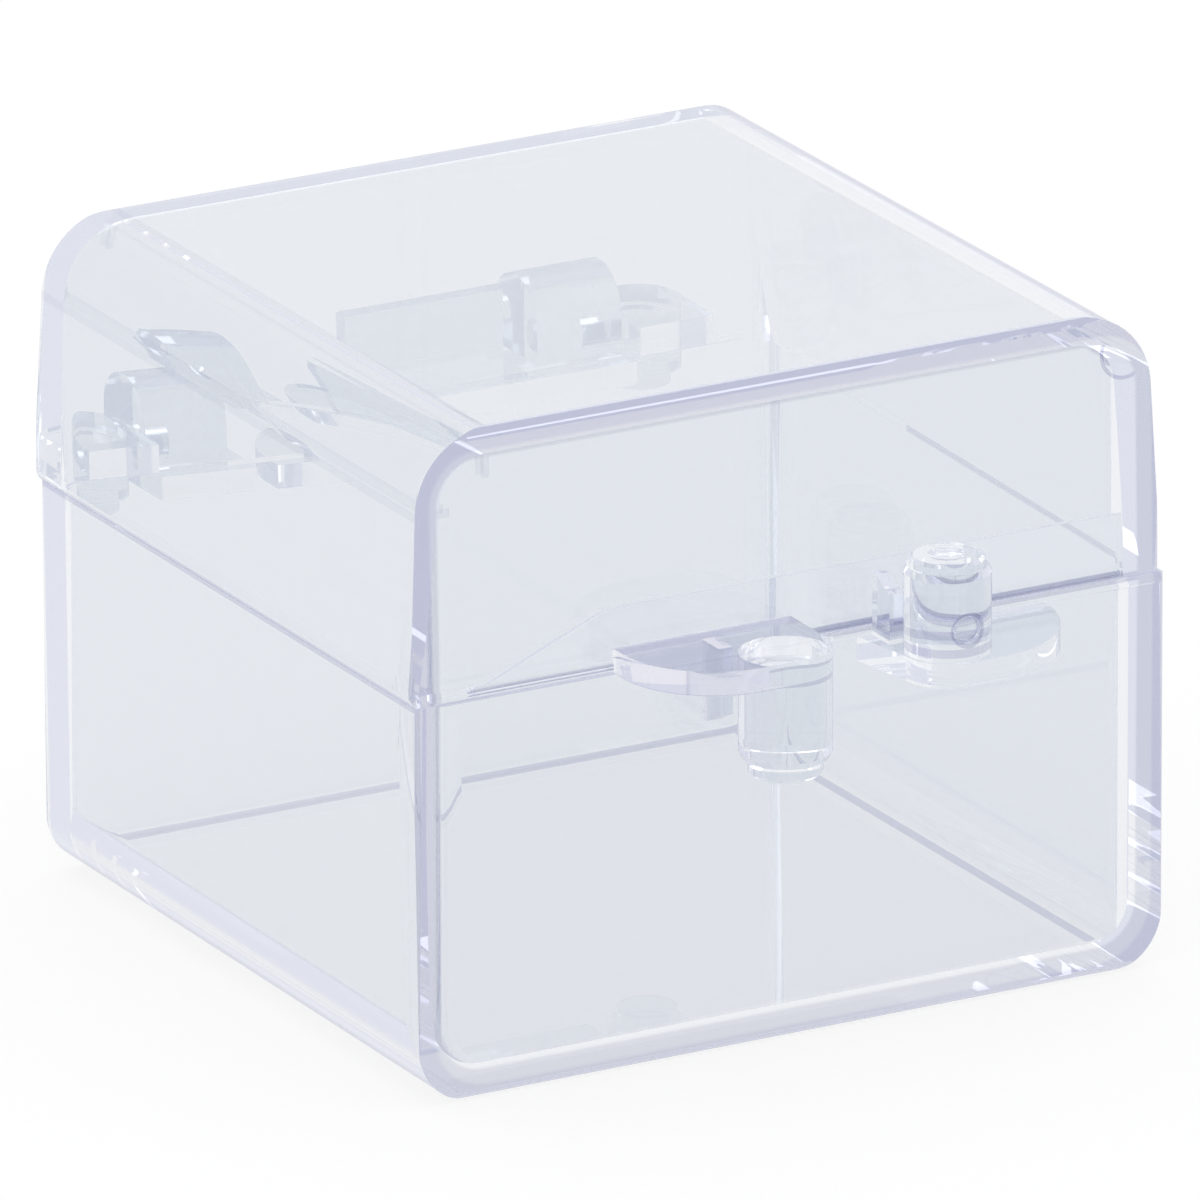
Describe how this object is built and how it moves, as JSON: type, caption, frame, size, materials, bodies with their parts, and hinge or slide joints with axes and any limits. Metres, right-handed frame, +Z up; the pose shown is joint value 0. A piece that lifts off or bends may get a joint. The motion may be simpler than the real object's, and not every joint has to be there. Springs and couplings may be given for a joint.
{
  "type": "hinged dental crown and bridge box, clear rigid plastic",
  "caption": "Small clear rigid plastic box with rounded long edges, flat ends, a hinged lid and moulded snap lugs at the rim.",
  "frame": {"origin": "centre of the flat rest face under the base, midway between the front and the rear lugs", "axes": "+X to the right along the front panel, +Y from the front panel to the hinge, +Z up from the underside"},
  "size_m": [0.0382, 0.0468, 0.0311],
  "materials": {
    "clear_plastic": "gloss"
  },
  "bodies": {
    "base": {"base": "clear_plastic"},
    "lid": {"lid": "clear_plastic"}
  },
  "joints": [
    {"name": "lid_hinge", "type": "hinge", "parent": "base", "child": "lid", "pos_m": [0, 0.02135, 0.019], "axis": [-1, 0, 0], "range_deg": [0, 180]}
  ]
}
